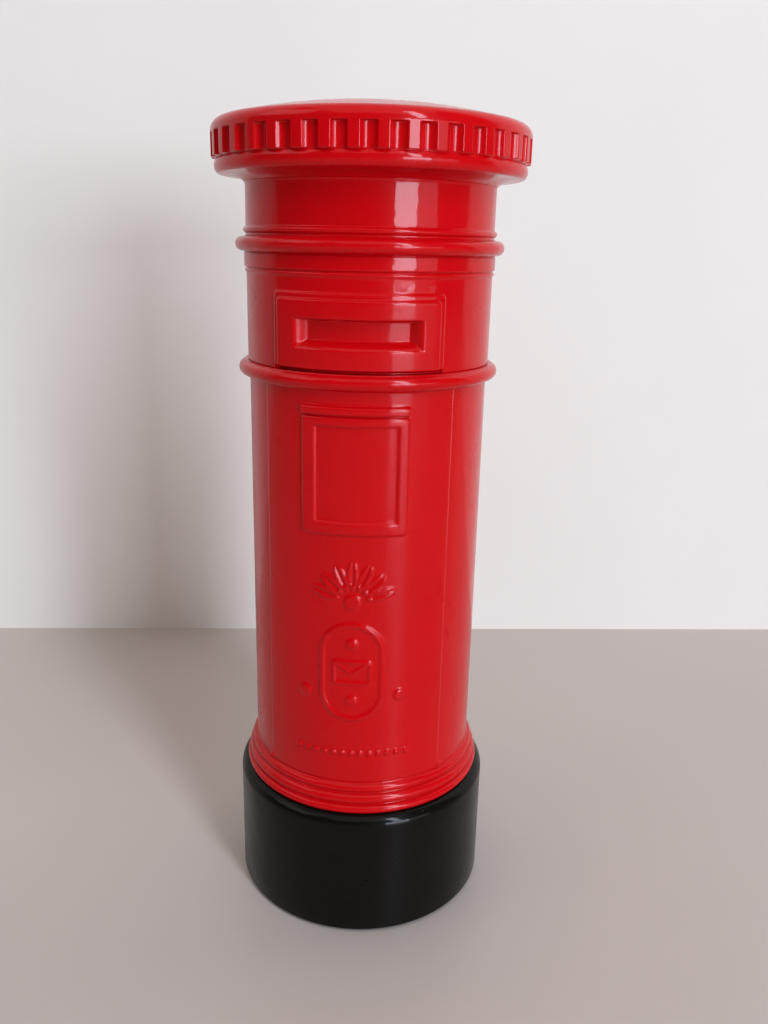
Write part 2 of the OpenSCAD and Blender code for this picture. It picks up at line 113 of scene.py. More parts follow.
def weave(rows, columns, closed):
    """Four-sided faces between neighbouring points of a grid whose columns go once round. They
    face outwards where the rows climb the outside and the columns go anticlockwise from above."""
    i = np.arange(rows if closed else rows - 1)[:, None]
    j = np.arange(columns)[None, :]
    i2, j2 = (i + 1) % rows, (j + 1) % columns
    return np.stack([i * columns + j, i * columns + j2, i2 * columns + j2, i2 * columns + j], -1)


def fan(ring, middle):
    """Triangles from a ring of points to its middle point."""
    return np.stack([ring, np.roll(ring, -1), np.full(len(ring), middle)], -1).tolist()


def make_piece(name, points, faces):
    """A smooth-shaded object of these points, given in millimetres, and these faces."""
    mesh = bpy.data.meshes.new(name)
    mesh.from_pydata((points * 0.001).tolist(), [], faces)
    mesh.shade_smooth()
    piece = bpy.data.objects.new(name, mesh)
    bpy.context.scene.collection.objects.link(piece)
    return piece


def turning(profile, columns, at=(0, 0)):
    """A closed turned shape: the profile runs once round the section and joins its own start,
    and at is where its axis stands."""
    points = turned(profile, round_the_axis(columns)).reshape(-1, 3) + [at[0], at[1], 0]
    return points, weave(len(profile), columns, True).reshape(-1, 4)


def joined(name, parts):
    """One object of several closed shapes, each a pair of points and faces."""
    counts = np.cumsum([0] + [len(points) for points, _ in parts])
    faces = [(f + n).tolist() for (_, f), n in zip(parts, counts)]
    return make_piece(name, np.concatenate([points for points, _ in parts]), sum(faces, []))


def enamel(name, colour, shade, chip_colour, gloss):
    """Stoved enamel on a casting: a clear gloss over a pigment that varies a little from place to
    place, a fine orange peel, and a few chips where the rub attribute marks a crest or an edge."""
    m = bpy.data.materials.new(name)
    m.use_nodes = True
    n, link = m.node_tree.nodes, m.node_tree.links
    bsdf = n["Principled BSDF"]
    bsdf.inputs["IOR"].default_value = 1.45
    bsdf.inputs["Specular IOR Level"].default_value = 0.05
    bsdf.inputs["Coat Weight"].default_value = gloss
    bsdf.inputs["Coat Roughness"].default_value = 0.055
    bsdf.inputs["Coat IOR"].default_value = 1.36
    cloud = span(m, noise(m, 45, 3), 0.35, 0.7, 0.0, 1.0)
    body = mix(m, cloud, colour, shade)
    rub = n.new("ShaderNodeAttribute")
    rub.attribute_name = "rub"
    patch = span(m, noise(m, 90, 2), 0.56, 0.64, 0.0, 0.24)
    worn = maths(m, "MULTIPLY", rub.outputs["Fac"], patch)
    chip = span(m, maths(m, "ADD", noise(m, 620, 6), worn), 0.88, 0.895, 0.0, 1.0)
    link.new(mix(m, chip, body, chip_colour), bsdf.inputs["Base Color"])
    smear = span(m, noise(m, 160, 4), 0.3, 0.8, 0.26, 0.40)
    link.new(maths(m, "MAXIMUM", smear, maths(m, "MULTIPLY", chip, 0.6)), bsdf.inputs["Roughness"])
    peel = maths(m, "ADD", maths(m, "MULTIPLY", noise(m, 420, 2), 0.35), noise(m, 95, 1))
    skin = maths(m, "SUBTRACT", peel, maths(m, "MULTIPLY", chip, 0.6))
    bump = raised(m, skin, 0.16, 0.0006)
    link.new(bump, bsdf.inputs["Normal"])
    link.new(bump, bsdf.inputs["Coat Normal"])
    return m


def noise(m, scale, detail):
    """A noise pattern in the object's own metres, from 0 to 1."""
    n, link = m.node_tree.nodes, m.node_tree.links
    where = n.get("where") or n.new("ShaderNodeTexCoord")
    where.name = "where"
    t = n.new("ShaderNodeTexNoise")
    t.inputs["Scale"].default_value = scale
    t.inputs["Detail"].default_value = detail
    t.inputs["Roughness"].default_value = 0.55
    link.new(where.outputs["Object"], t.inputs["Vector"])
    return t.outputs["Fac"]


def span(m, value, low, high, out_low, out_high):
    """The value's stretch from low to high, laid over out_low to out_high."""
    r = m.node_tree.nodes.new("ShaderNodeMapRange")
    for socket, v in zip(("From Min", "From Max", "To Min", "To Max"),
                         (low, high, out_low, out_high)):
        r.inputs[socket].default_value = v
    m.node_tree.links.new(value, r.inputs["Value"])
    return r.outputs["Result"]


def plug(m, socket, v):
    """Puts a number, a colour or another node's output into a socket."""
    if isinstance(v, (int, float)):
        socket.default_value = v
    elif isinstance(v, tuple):
        socket.default_value = (*v, 1.0)
    else:
        m.node_tree.links.new(v, socket)


def maths(m, kind, a, b):
    """One step of arithmetic on two values."""
    t = m.node_tree.nodes.new("ShaderNodeMath")
    t.operation = kind
    plug(m, t.inputs[0], a)
    plug(m, t.inputs[1], b)
    return t.outputs[0]


def mix(m, factor, a, b):
    """Colour a where the factor is 0 and colour b where it is 1. Sockets 6 and 7 are the node's
    colours, and output 2 is the colour that comes out."""
    t = m.node_tree.nodes.new("ShaderNodeMix")
    t.data_type = "RGBA"
    plug(m, t.inputs[0], factor)
    plug(m, t.inputs[6], a)
    plug(m, t.inputs[7], b)
    return t.outputs[2]


def raised(m, height, strength, distance):
    """A bump whose full height is distance metres."""
    b = m.node_tree.nodes.new("ShaderNodeBump")
    b.inputs["Strength"].default_value = strength
    b.inputs["Distance"].default_value = distance
    plug(m, b.inputs["Height"], height)
    return b.outputs["Normal"]


def rub_marks(piece, weights):
    """Stores how much each vertex is rubbed, from 0 to 1, as the attribute the enamel reads."""
    layer = piece.data.attributes.new("rub", "FLOAT", "POINT")
    layer.data.foreach_set("value", np.ascontiguousarray(weights, dtype=np.float32))


base_r, base_low, base_spigot_top = reach("base")
base_top = reach("body")[1]
plate_top = reach("bottom_plate")[2]
thick = 3.0                 # wall of every casting
spigot_r = 20.1             # of the spigots that set each casting in line with the next
way_r = 17.6                # of the way through them
cavity_r = base_r - thick
deck_under = base_top - thick
shoulder = 2.2
foot_round = 0.6
deck_round = 0.4
cavity_round = 1.0
hidden_round = 0.3          # of edges that don't show
screw_at = 21.0
boss_r, boss_high = 3.0, 9.0
pilot_r = 1.05              # of the hole for the screw

cup_outline = np.concatenate([
    arc(base_r - foot_round, base_low + foot_round, foot_round, -90, 0, 6),
    upright(base_r, 6, 14, 21),
    arc(base_r - shoulder, base_top - shoulder, shoulder, 0, 90, 12),
    [[base_r - shoulder - 0.4, base_top], [spigot_r + hidden_round, base_top]],
    arc(spigot_r - hidden_round, base_spigot_top - hidden_round, hidden_round, 0, 90, 4),
    arc(way_r + hidden_round, base_spigot_top - hidden_round, hidden_round, 90, 180, 4),
    arc(way_r + deck_round, deck_under + deck_round, deck_round, 180, 270, 4),
    arc(cavity_r - cavity_round, deck_under - cavity_round, cavity_round, 90, 0, 5),
    upright(cavity_r, 12, 5),
    arc(cavity_r + hidden_round, base_low + hidden_round, hidden_round, 180, 270, 4),
])
boss_outline = np.array([
    [boss_r - 0.15, 0], [boss_r, 0.15], [boss_r, boss_high], [boss_r - 1, boss_high + 1],
    [pilot_r + 0.05, boss_high + 1], [pilot_r, boss_high - 2], [pilot_r, 0.2], [pilot_r + 0.15, 0]])
boss_outline[:, 1] += plate_top
cup = [turning(cup_outline, 160)]
for turn in (45, 135, 225, 315):
    spot = screw_at * math.cos(math.radians(turn)), screw_at * math.sin(math.radians(turn))
    cup.append(turning(boss_outline, 24, spot))
base_cup = joined("base_cup", cup)
black_enamel = enamel("black_enamel", (0.004, 0.0034, 0.0025), (0.0035, 0.003, 0.0022),
                      (0.035, 0.033, 0.03), 0.35)
base_cup.data.materials.append(black_enamel)
places = np.concatenate([points for points, _ in cup])
out, high = np.hypot(places[:, 0], places[:, 1]), places[:, 2]
on_shoulder = np.exp(-((high - base_top + 0.5) / 0.9) ** 2) * (out > base_r - 2.4)
on_foot = np.exp(-((high - base_low) / 0.7) ** 2) * (out > base_r - 1)
rub_marks(base_cup, on_shoulder + on_foot)
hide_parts("base")
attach(base_cup, "casing")


# ---------------------------------------------------------------------------------------------
# Body: the red tube, cast with its three foot mouldings, the collar at its top, a flush door
# panel, the notice frame under its hood, and a plain ornament of leaves and a letter medallion.
# ---------------------------------------------------------------------------------------------
def spaced(first, last, coarse, fine, edges, width):
    """Places from first to last, fine apart at each edge and widening to coarse at width from it:
    even steps of the running sum of one over the wanted spacing."""
    x = np.linspace(first, last, 6000)
    near = np.abs(x[:, None] - np.asarray(edges)).min(1)
    wanted = fine + (coarse - fine) * np.clip(near / width, 0, 1)
    total = np.concatenate([[0], np.cumsum(np.diff(x) / wanted[1:])])
    return np.interp(np.linspace(0, total[-1], int(total[-1]) + 2), total, x)


def both_ways(half):
    """Angles in degrees from 0 to 180, mirrored so that they go once round, in radians."""
    return np.radians(np.concatenate([-half[:0:-1], half[:-1]]))


def beads(z, ground, rows, fillet):
    """Radius of a wall with half-round beads, with fillets where they meet. Within b of its middle
    a bead's radius is crest - b + sqrt(b^2 - (z - middle)^2), and past that it falls 4 for every 1
    along z. The wall and the beads are joined by a smooth maximum, which is the fillet times
    log(sum of exp(radius / fillet))."""
    total = np.ones_like(z)
    for crest, middle, b in rows:
        off = np.abs(z - middle)
        over = crest - b - ground + np.sqrt(np.clip(b * b - off * off, 0, None))
        total += np.exp((over - 4 * np.clip(off - b, 0, None)) / fillet)
    return ground + fillet * np.log(total)


def inside(distance, edge):
    """1 inside an outline and 0 outside it, by a smooth S across its edge. The distance is to the
    outline, less than 0 inside it."""
    t = np.clip(0.5 - distance / edge, 0, 1)
    return t * t * (3 - 2 * t)


def box_distance(x, z, half_w, half_h, corner):
    """Distance to an upright rectangle with rounded corners."""
    dx, dz = np.abs(x) - half_w + corner, np.abs(z) - half_h + corner
    past_a_corner = np.hypot(np.maximum(dx, 0), np.maximum(dz, 0))
    return past_a_corner + np.minimum(np.maximum(dx, dz), 0) - corner


def plateau(x, z, half, low, high, corner, edge):
    """1 on an upright rectangle of this half width between two levels, 0 round it."""
    return inside(box_distance(x, z - (low + high) / 2, half, (high - low) / 2, corner), edge)


def along(r, degrees):
    """Length of an arc of so many degrees on a wall of radius r."""
    return r * math.radians(degrees)


def leaf_distance(x, z, length, width):
    """Distance to a leaf standing on the origin, pointed at both ends: where two circles meet."""
    bow = (length ** 2 + width ** 2) / (4 * width)
    return np.hypot(np.abs(x) + bow - width / 2, z - length / 2) - bow


def ornament(x, z):
    """Height of the ornament, from 0 to 1, at x across and z up from its middle: seven leaves in
    a fan on a knob, a ring round a letter and two dots, two dots beside it, and a row of beads
    below. Each part is a distance to its outline, and the nearest counts."""
    outside_all = 9.0
    knob = np.hypot(x, z - stem_up) - 1.6
    ring = np.abs(box_distance(x, z, oval_w, oval_h, oval_w)) - 0.55
    letter = np.abs(box_distance(x, z, 3.45, 2.25, 0.4)) - 0.35
    crease = np.abs(z - 2.1 + 2.3 * (1 - np.abs(x) / flap_half)) * 0.82 - 0.32
    flap = np.maximum(crease, np.abs(x) - flap_half)
    dots_inside = np.hypot(x, np.abs(z) - 6) - 1.15
    dots_beside = np.hypot(np.abs(x) - 9.2, z + 5) - 1.2
    bead = np.hypot((x + bead_step / 2) % bead_step - bead_step / 2, z + bead_row_down) - 0.62
    bead_row = bead + outside_all * (np.abs(x) > 6.4 * bead_step)
    parts = [knob, ring, letter, flap, dots_inside, dots_beside, bead_row]
    for turn in np.radians(24 * (np.arange(7) - 3)):
        u = x * np.cos(turn) - (z - stem_up) * np.sin(turn)
        v = x * np.sin(turn) + (z - stem_up) * np.cos(turn) - 2.4
        vein = 0.22 - np.abs(u) - outside_all * (v < 1.2)
        parts.append(np.maximum(leaf_distance(u, v, 6.2, 2.3), vein))
    return inside(np.minimum.reduce(parts), 0.55)


body_r = 23.4
bore_r = body_r - thick
spigot_deep = 3.0           # how far a casting's spigot reaches into the one below it
body_top = reach("head")[1] + spigot_deep
door_half, door_low, door_high = along(body_r, 47), base_top + 6.3, body_top - 2.6
frame_half, frame_low, frame_high = along(body_r, 24.3), base_top + 58.4, base_top + 80.5
hood_low, hood_high = frame_high + 0.3, frame_high + 1.9
notice_low, notice_high = frame_low + 3.5, frame_high - 2.15
notice_half, notice_deep = 6.6, 1.5
ornament_level = base_top + 30.6
stem_up = 14.6              # where the leaves meet, above the medallion's middle
oval_w, oval_h = 5.75, 9.95
flap_half = 3.3
bead_step, bead_row_down = 21.2 / 12, 17.7
foot_beads = [(body_r + 2.2, base_top + 0.9, 0.9), (body_r + 1.7, base_top + 2.9, 1.15),
              (body_r + 1.0, base_top + 5.0, 0.95)]
collar_bead = (body_r + 2.1, body_top - 1.5, 1.3)
up_the_body = np.concatenate([
    spaced(base_top, base_top + 6.4, 0.16, 0.07, [base_top + 1.85, base_top + 4.0], 0.6),
    spaced(base_top + 6.5, frame_low - 0.8, 0.32, 0.18, [ornament_level - bead_row_down], 3),
    spaced(frame_low - 0.6, hood_high + 0.5, 0.9, 0.09,
           [frame_low, notice_low - 1.1, notice_low, notice_high + 0.25, frame_high, hood_low,
            hood_high], 1.2),
    spaced(hood_high + 0.8, body_top, 0.35, 0.09,
           [body_top - 2.9, body_top - 1.5, body_top - 0.7, body_top], 0.8),
])
body_turns = both_ways(np.concatenate([
    np.arange(0, 30.5, 0.5), spaced(31, 45.8, 2.2, 0.5, [31, 45.8], 4)[:-1],
    spaced(46, 48.8, 0.5, 0.3, [47], 1)[:-1], spaced(49, 180, 3.2, 0.6, [49], 6)]))
body_wall = beads(up_the_body, body_r, foot_beads + [collar_bead], 0.16)
ledge = up_the_body > body_top - 0.75
body_wall = np.where(ledge, np.maximum(body_wall, body_r + 0.9), body_wall)


def body_relief(turn, z):
    """How far the body's surface stands out at an angle from the front and a level."""
    across = body_r * turn
    door = 0.25 * plateau(across, z, door_half, door_low, door_high, 0.3, 0.5)
    from_stud = np.hypot(np.abs(across) - along(body_r, 47.8), z - base_top - 6.8)
    studs = 0.55 * inside(from_stud - 0.6, 0.5)
    face = 0.75 * plateau(across, z, frame_half, frame_low, frame_high, 0.9, 0.7)
    hood = 1.1 * plateau(across, z, frame_half, hood_low, hood_high, 0.4, 0.35)
    beside_notice = np.abs(across - along(body_r, 0.8)) - notice_half
    slope = np.maximum.reduce(np.broadcast_arrays(
        np.clip(beside_notice / 1.1, 0, 1), np.clip((notice_low - z) / 1.2, 0, 1),
        np.clip((z - notice_high) / 0.5, 0, 1)))
    framed = np.maximum(face, hood) - notice_deep * (1 - slope ** 1.3) * (face > 0.3)
    sign = 0.62 * ornament(body_r * np.sin(turn), z - ornament_level) * (np.abs(turn) < 1)
    return np.maximum.reduce([door + studs, framed, sign])


clear_of_beads = (up_the_body > base_top + 5.9) & (up_the_body < body_top - 2.4)
stands_out = body_relief(body_turns[None, :], up_the_body[:, None]) * clear_of_beads[:, None]
outside = wrapped(body_wall[:, None] + stands_out, body_turns, up_the_body)
body_inside = turned(np.array([
    [body_r + 0.8, body_top], [bore_r + hidden_round, body_top],
    *upright(bore_r, body_top - hidden_round, base_top + 60, base_top + 30,
             base_top + hidden_round),
    [bore_r + hidden_round, base_top], [body_r + 1.1, base_top]]), body_turns)
body_grid = np.concatenate([outside, body_inside])
body_casting = make_piece("body_casting", body_grid.reshape(-1, 3),
                          weave(*body_grid.shape[:2], True).reshape(-1, 4).tolist())
red_enamel = enamel("red_enamel", (0.56, 0.001, 0.004), (0.53, 0.001, 0.003),
                    (0.035, 0.02, 0.02), 0.6)
body_casting.data.materials.append(red_enamel)
body_worn = np.zeros(body_grid.shape[:2])
body_worn[:len(up_the_body)] = (body_wall > body_r + 1.6)[:, None]
rub_marks(body_casting, body_worn.ravel())
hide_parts("body")
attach(body_casting, "casing")

# ---------------------------------------------------------------------------------------------
# Head: the red tube above the collar, cast with its neck, its rings, the posting plate in front
# with a blind recess, and the coin slot right through the wall behind.
# ---------------------------------------------------------------------------------------------
head_r = body_r + 0.3
head_top = reach("head")[2]
head_floor = body_top + 1.5
spigot_low = body_top - spigot_deep
plate_turn, plate_low, plate_high = 39.5, 0.5, 13.7         # of the plate; levels above the collar
face_turn, face_high = 36.8, 12.6                           # of its raised face
recess_turn, recess_low, recess_high = 23.5, 5.6, 9.0       # of the blind recess
recess_deep, recess_aside = 2.1, 0.7                        # and how far it is off the middle
sill_rise, lintel_rise, cheek_turn = 1.7, 0.4, 5.1          # of the slopes round it
plate_proud, face_proud, groove_deep = 0.35, 0.45, 0.9
near_turn = 42                                              # the columns are closest up to here
slot_w, slot_h, slot_at = 33.0, 5.0, body_top + 7.1
slot_lip = 0.5
ring_at = body_top + 21.5
band_at = ring_at - 2.8
cove_r, cove_h, cove_low = 4.6, 1.65, head_top - 0.4
head_beads = [(head_r + 2.0, ring_at, 1.35), (head_r + 0.5, ring_at + 2.5, 0.6),
              (head_r + 0.25, ring_at - 4.75, 0.4)]
up_the_head = np.concatenate([
    spaced(body_top, body_top + 14.2, 0.5, 0.1,
           body_top + np.array([plate_low, recess_low - sill_rise, recess_low - 0.1, recess_high,
                                recess_high + lintel_rise, face_high, plate_high]), 0.8),
    spaced(body_top + 14.5, ring_at - 5.3, 0.7, 0.5, [0], 1),
    spaced(ring_at - 5.2, ring_at + 3.3, 0.2, 0.07,
           ring_at + np.array([-4.3, -4.1, -1.5, -1.3, 1.4, 1.9]), 0.5),
    spaced(ring_at + 3.6, head_top, 1.5, 0.1, [head_top], 1.5),
])
head_turns = both_ways(np.concatenate([
    spaced(0, near_turn, 0.9, 0.32,
           [recess_turn, recess_turn + 4.5, face_turn, plate_turn], 3.5)[:-1],
    spaced(near_turn, 180, 3.0, 1.0, [near_turn, 110], 9)]))
cove_fall = np.clip(up_the_head - cove_low, 0, None) / cove_h
head_wall = np.maximum.reduce([
    beads(up_the_head, head_r, head_beads, 0.12),
    head_r + 0.4 * inside(np.abs(up_the_head - band_at) - 1.3, 0.3),
    head_r + cove_r * (1 - np.sqrt(1 - cove_fall ** 2))])


def head_relief(turn, z):
    """How far the head's surface stands out at an angle from the front and a level."""
    across, rise = head_r * turn, z - body_top
    plate_half, face_half = along(head_r, plate_turn), along(head_r, face_turn)
    plate = plate_proud * plateau(across, rise, plate_half, plate_low, plate_high, 0.8, 0.4)
    face = face_proud * plateau(across, rise, face_half, plate_low, face_high, 0.6, 0.4)
    groove = groove_deep * plateau(
        across, rise, plate_half, plate_low - 0.66, plate_low + 0.06, 0.1, 0.15)
    beside_recess = np.abs(across - along(head_r, recess_aside)) - along(head_r, recess_turn)
    side_slope = np.clip(beside_recess / along(head_r, cheek_turn), 0, 1)
    sill_slope = np.clip((recess_low - rise) / sill_rise, 0, 1)
    lintel_slope = np.clip((rise - recess_high) / lintel_rise, 0, 1)
    slope = np.maximum.reduce(np.broadcast_arrays(
        np.sin(side_slope * math.pi / 2) ** 1.5, np.sin(sill_slope * math.pi / 2), lintel_slope))
    return plate + face - groove - recess_deep * (1 - slope)


stands_out = head_relief(head_turns[None, :], up_the_head[:, None])
outside = wrapped(head_wall[:, None] + stands_out, head_turns, up_the_head)
patch_turn, patch_high = 63, 4.6        # half sizes of the block that is cut out for the coin slot
first_row, last_row = np.searchsorted(up_the_head, [slot_at - patch_high, slot_at + patch_high])
down_the_bore = up_the_head[last_row:first_row - 1:-1]
above_slot = [[head_r - 0.1, head_top], [bore_r + 0.2, head_top],
              *upright(bore_r, head_top - hidden_round, body_top + 24)]
head_inside = turned(np.array([
    *above_slot, *upright(bore_r, *down_the_bore),
    [bore_r, head_floor + 0.3], [bore_r - 0.2, head_floor],
    [way_r + 0.2, head_floor], [way_r, head_floor - 0.2],
    [way_r, spigot_low + 0.2], [way_r + 0.2, spigot_low],
    [spigot_r - hidden_round, spigot_low], [spigot_r, spigot_low + hidden_round],
    [spigot_r, body_top], [head_r - 0.5, body_top]]), head_turns)
head_grid = np.concatenate([outside, head_inside])
head_rows, head_columns = head_grid.shape[:2]
numbers = np.arange(head_rows * head_columns).reshape(head_rows, head_columns)


def loop_round(numbers, low, high, left, right):
    """Point numbers round a block of the grid: along row low, up column right, back along row high
    and down column left. Low is the greater row where the rows run downwards."""
    up = 1 if high > low else -1
    return np.concatenate([numbers[low, left:right], numbers[low:high:up, right],
                           numbers[high, right:left:-1], numbers[high:low:-up, left]])


# The coin slot lies across the seam of the columns, so they are turned half round first.
half_turn = head_columns // 2
numbers = np.roll(numbers, half_turn, 1)
turns = np.degrees(np.roll(head_turns, half_turn)) % 360
left, right = np.searchsorted(turns, [180 - patch_turn, 180 + patch_turn])
bore_top = len(up_the_head) + len(above_slot)
bore_foot = bore_top + len(down_the_bore) - 1
outer_loop = loop_round(numbers, first_row, last_row, left, right)
inner_loop = loop_round(numbers, bore_foot, bore_top, left, right)
flat = head_grid.reshape(-1, 3)


def slot_ring(grow, radius, sunk):
    """The slot's outline, grown by grow, laid on a cylinder and then sunk along Y: each point is
    the nearest on the outline to its own point of the outer loop."""
    from_middle = flat[outer_loop][:, [0, 2]] - [0, slot_at]
    straight = (slot_w - slot_h) / 2
    end = np.clip(from_middle[:, 0], -straight, straight)
    away = from_middle - np.stack([end, 0 * end], -1)
    away *= ((slot_h / 2 + grow) / np.linalg.norm(away, axis=1))[:, None]
    x = end + away[:, 0]
    return np.stack([x, np.sqrt(radius ** 2 - x ** 2) - sunk, slot_at + away[:, 1]], -1)


def blend_rings(start, stop, radius, count):
    """Rings between two rings, laid back onto the cylinder that they both lie on."""
    part = np.linspace(0, 1, count + 2)[1:-1, None, None]
    between = start + (stop - start) * part
    between[..., 1] = np.sqrt(radius ** 2 - between[..., 0] ** 2)
    return between


lip = [slot_ring(slot_lip * (1 - math.sin(a)), head_r, slot_lip * (1 - math.cos(a)))
       for a in np.radians([0, 22, 45, 68, 90])]
through = [lip[-1] + (slot_ring(0, bore_r, 0) - lip[-1]) * part for part in (0.25, 0.5, 0.75)]
mouth = slot_ring(0.2, bore_r, 0)
rings = np.concatenate([
    blend_rings(flat[outer_loop], lip[0], head_r, 4), lip, through,
    [slot_ring(0, bore_r, -0.2), mouth], blend_rings(mouth, flat[inner_loop], bore_r, 3)])
ring_numbers = head_rows * head_columns + np.arange(rings[..., 0].size).reshape(rings.shape[:2])
bridge = np.concatenate([[outer_loop], ring_numbers, [inner_loop]])
beside = np.roll(bridge, -1, 1)
bridge_faces = np.stack([bridge[:-1], beside[:-1], beside[1:], bridge[1:]], -1)
keep = np.ones((head_rows, head_columns), bool)
gone = np.roll(np.arange(head_columns), half_turn)[left:right]
keep[first_row:last_row, gone] = False
keep[bore_top:bore_foot, gone] = False
head_casting = make_piece("head_casting", np.concatenate([flat, rings.reshape(-1, 3)]),
                          weave(head_rows, head_columns, True)[keep].tolist()
                          + bridge_faces.reshape(-1, 4).tolist())
head_casting.data.materials.append(red_enamel)
head_worn = np.zeros(len(flat) + ring_numbers.size)
head_worn[:outside[..., 0].size] = np.repeat(head_wall > head_r + 1.2, head_columns)
rub_marks(head_casting, head_worn)
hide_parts("head")
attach(head_casting, "casing")

# ---------------------------------------------------------------------------------------------
# Roof: a red domed casting with a row of small blocks round its edge above a rounded lip, and a
# cove below that runs down to the neck. Inside it are a locating ring and the tie rod's boss.
# ---------------------------------------------------------------------------------------------
cap_r, _, crown = reach("roof_cap")
blocks = 39
block_step = 360 / blocks
block_half = 1.85                       # degrees either side of a block's middle
gap_deep = 0.9
band_low, band_high = head_top + 4.0, head_top + 8.1
lip_r, lip_at = cap_r - 1.4, head_top + 2.65
lip_out, lip_up = 0.9, 1.4
rim = 2.2
dome_rise = 3.4
rim_top = crown - dome_rise
dome_r = ((cap_r - rim) ** 2 + dome_rise ** 2) / (2 * dome_rise)
rod_hole = 2.05
rod_top = 157.5
boss_wide = 5.0
hollow_top = rim_top - thick
boss_low = hollow_top - 8
ring_low = head_top - spigot_deep

half_step = spaced(0, block_step / 2, 0.6, 0.2, [block_half, block_half + 0.5], 1.2)
one_block = np.concatenate([-half_step[:0:-1], half_step[:-1]])
roof_turns = np.radians((one_block + block_step * np.arange(blocks)[:, None]).ravel())
lean = math.degrees(math.asin((cap_r - rim) / dome_r))
cove_turn = np.linspace(math.asin((head_top - cove_low) / cove_h), math.pi / 2, 14)
lip_turn = np.radians(np.linspace(-80, 66, 18))
inside_the_roof = [
    [0.4, rod_top], [rod_hole, rod_top], [rod_hole, rod_top - 8], [rod_hole + 0.3, boss_low],
    [boss_wide - 0.3, boss_low], [boss_wide, boss_low + 0.3], [boss_wide, hollow_top - 0.8],
    [boss_wide + 0.8, hollow_top], [way_r - 1, hollow_top], [way_r, hollow_top - 1],
    [way_r, ring_low + 0.2], [way_r + 0.2, ring_low], [spigot_r - hidden_round, ring_low],
    [spigot_r, ring_low + hidden_round], [spigot_r, head_top], [head_r - 0.6, head_top]]
roof_outline = np.concatenate([
    inside_the_roof,
    np.stack([head_r + cove_r * (1 - np.cos(cove_turn)),
              cove_low + cove_h * np.sin(cove_turn)], -1),
    np.stack([lip_r + lip_out * np.cos(lip_turn), lip_at + lip_up * np.sin(lip_turn)], -1),
])
band_levels = band_low + np.array([0.0, 0.1, 0.3, 0.8, 1.6, 2.6, 3.4, 3.8, 3.95, 4.02, 4.08])
dome_lean = np.radians(np.linspace(lean, 0.25, 16))
crown_outline = np.concatenate([
    [[cap_r, band_high + 0.1]],
    arc(cap_r - rim, rim_top - rim, rim, 8, 90 - lean - 1, 12),
    np.stack([dome_r * np.sin(dome_lean), crown - dome_r + dome_r * np.cos(dome_lean)], -1),
])


def gap_between_blocks(turn):
    """Depth of a gap as a share of its full depth, 0 on a block: 1 - (1 - t)^2.6, where t runs
    from 0 at the block's side to 1 in the middle of the gap, so each gap is a shallow scoop."""
    half = block_step / 2
    off = np.abs((np.degrees(turn) + half) % block_step - half)
    t = np.clip((off - block_half) / (half - block_half), 0, 1)
    return 1 - (1 - t) ** 2.6


gap_share = np.interp(band_levels, [band_high - 0.15, band_high - 0.02], [1, 0])
band_wall = cap_r - gap_deep * gap_share[:, None] * gap_between_blocks(roof_turns)
roof_grid = np.concatenate([turned(roof_outline, roof_turns),
                            wrapped(band_wall, roof_turns, band_levels),
                            turned(crown_outline, roof_turns)])
roof_rows, roof_columns = roof_grid.shape[:2]
points = np.concatenate([roof_grid.reshape(-1, 3), [[0, 0, rod_top], [0, 0, crown]]])
end_of_hole, top_of_dome = len(points) - 2, len(points) - 1
faces = weave(roof_rows, roof_columns, False).reshape(-1, 4).tolist()
faces += fan(np.arange(roof_columns)[::-1], end_of_hole)
faces += fan((roof_rows - 1) * roof_columns + np.arange(roof_columns), top_of_dome)
roof_casting = make_piece("roof_casting", points, faces)
roof_casting.data.materials.append(red_enamel)
out, high = np.hypot(points[:, 0], points[:, 1]), points[:, 2]
rub_marks(roof_casting, (out > cap_r - 1.2) & (high > band_high))
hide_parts("roof_cap")
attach(roof_casting, "casing")

# ---------------------------------------------------------------------------------------------
# Steel fittings: the rod, strap, washer and nut that clamp the castings, the bottom plate with its
# screws and hinge pin, the trap and the lock's cam. All are zinc plated, with fine brushed lines.
# ---------------------------------------------------------------------------------------------
def metal(name, colour, tarnish, roughness, brushed):
    """Bare metal: a tint that drifts towards tarnish, fine lines brushed across it, and smears."""
    m = bpy.data.materials.new(name)
    m.use_nodes = True
    n, link = m.node_tree.nodes, m.node_tree.links
    bsdf = n["Principled BSDF"]
    bsdf.inputs["Metallic"].default_value = 1.0
    plug(m, bsdf.inputs["Base Color"], mix(m, span(m, noise(m, 210, 5), 0.42, 0.72, 0, 1), colour,
                                           tarnish))
    lines = noise(m, 900, 2)
    stretch = n.new("ShaderNodeMapping")
    stretch.inputs["Scale"].default_value = (1.0, 0.04, 1.0)
    link.new(n["where"].outputs["Object"], stretch.inputs["Vector"])
    link.new(stretch.outputs["Vector"], lines.node.inputs["Vector"])
    smear = span(m, noise(m, 130, 4), 0.3, 0.75, roughness, roughness + 0.18)
    plug(m, bsdf.inputs["Roughness"], maths(m, "ADD", smear, maths(m, "MULTIPLY", lines, 0.08)))
    plug(m, bsdf.inputs["Normal"], raised(m, lines, brushed, 0.0001))
    return m


def dress(material, *names):
    """Gives CAD nodes a material in place of the plain one they came with."""
    for name in names:
        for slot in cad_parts[name].material_slots:
            slot.material = material


steel = metal("plated_steel", (0.62, 0.61, 0.58), (0.47, 0.44, 0.38), 0.24, 0.25)
dress(steel, "tie_rod", "tie_bar", "tie_washer", "tie_nut", "bottom_plate", "plate_screws",
      "hinge_pin", "trap_door", "lock_cam", "cam_screw")

